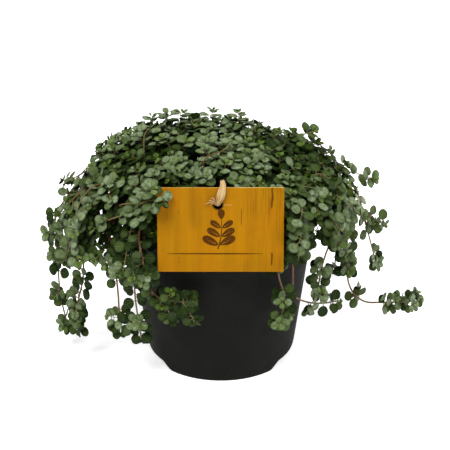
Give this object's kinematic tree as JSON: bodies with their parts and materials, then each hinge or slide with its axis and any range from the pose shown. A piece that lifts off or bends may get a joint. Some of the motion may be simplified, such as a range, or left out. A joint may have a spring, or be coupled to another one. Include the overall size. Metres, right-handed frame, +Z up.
{
  "type": "potted pilea",
  "caption": "Trailing small-leaved pilea that mounds over a dark round nursery pot, with a wooden tag hung at the front on a raffia loop.",
  "frame": {"origin": "middle of the flat pad under the pot, on the surface the pot stands on", "axes": "+Z up along the pot's axis; the tag is at the front, towards -Y; +X is to the viewer's right"},
  "size_m": [0.2421, 0.1711, 0.1475],
  "materials": {
    "pot_plastic": "matte dark anthracite plastic with a faint sheen",
    "potting_soil": "loose dark peat with pale grit",
    "tag_wood": "amber stained thin wood, straight vertical grain, satin",
    "raffia": "dry beige raffia fibre",
    "foliage": "matte grey-green leaves with a silvery bloom",
    "stem": "smooth thin reddish brown stems"
  },
  "bodies": {
    "root": {"pot": "pot_plastic", "potting_soil": "potting_soil", "hang_tag": "tag_wood", "tag_tie": "raffia", "crown_shoot_01": "foliage", "crown_shoot_02": "foliage", "crown_shoot_03": "foliage", "crown_shoot_04": "foliage", "crown_shoot_05": "foliage", "crown_shoot_06": "foliage", "crown_shoot_07": "foliage", "crown_shoot_08": "foliage", "crown_shoot_09": "foliage", "crown_shoot_10": "foliage", "crown_shoot_11": "foliage", "crown_shoot_12": "foliage", "crown_shoot_13": "foliage", "crown_shoot_14": "foliage", "crown_shoot_15": "foliage", "crown_shoot_16": "foliage", "crown_shoot_17": "foliage", "crown_shoot_18": "foliage", "crown_shoot_19": "foliage", "arching_shoot_01": "foliage", "arching_shoot_02": "foliage", "arching_shoot_03": "foliage", "arching_shoot_04": "foliage", "arching_shoot_05": "foliage", "arching_shoot_06": "foliage", "arching_shoot_07": "foliage", "arching_shoot_08": "foliage", "arching_shoot_09": "foliage", "arching_shoot_10": "foliage", "arching_shoot_11": "foliage", "arching_shoot_12": "foliage", "arching_shoot_13": "foliage", "arching_shoot_14": "foliage", "trailing_runner_01": "foliage", "trailing_runner_02": "foliage", "trailing_runner_03": "foliage", "trailing_runner_04": "foliage", "trailing_runner_05": "foliage", "trailing_runner_06": "foliage", "trailing_runner_07": "foliage", "trailing_runner_08": "foliage", "trailing_runner_09": "foliage", "trailing_runner_10": "foliage", "trailing_runner_11": "foliage", "trailing_runner_12": "foliage", "trailing_runner_13": "foliage", "trailing_runner_14": "foliage", "trailing_runner_15": "foliage", "trailing_runner_16": "foliage", "trailing_runner_17": "foliage", "trailing_runner_18": "foliage", "trailing_runner_19": "foliage", "trailing_runner_20": "foliage", "trailing_runner_21": "foliage"}
  },
  "joints": []
}
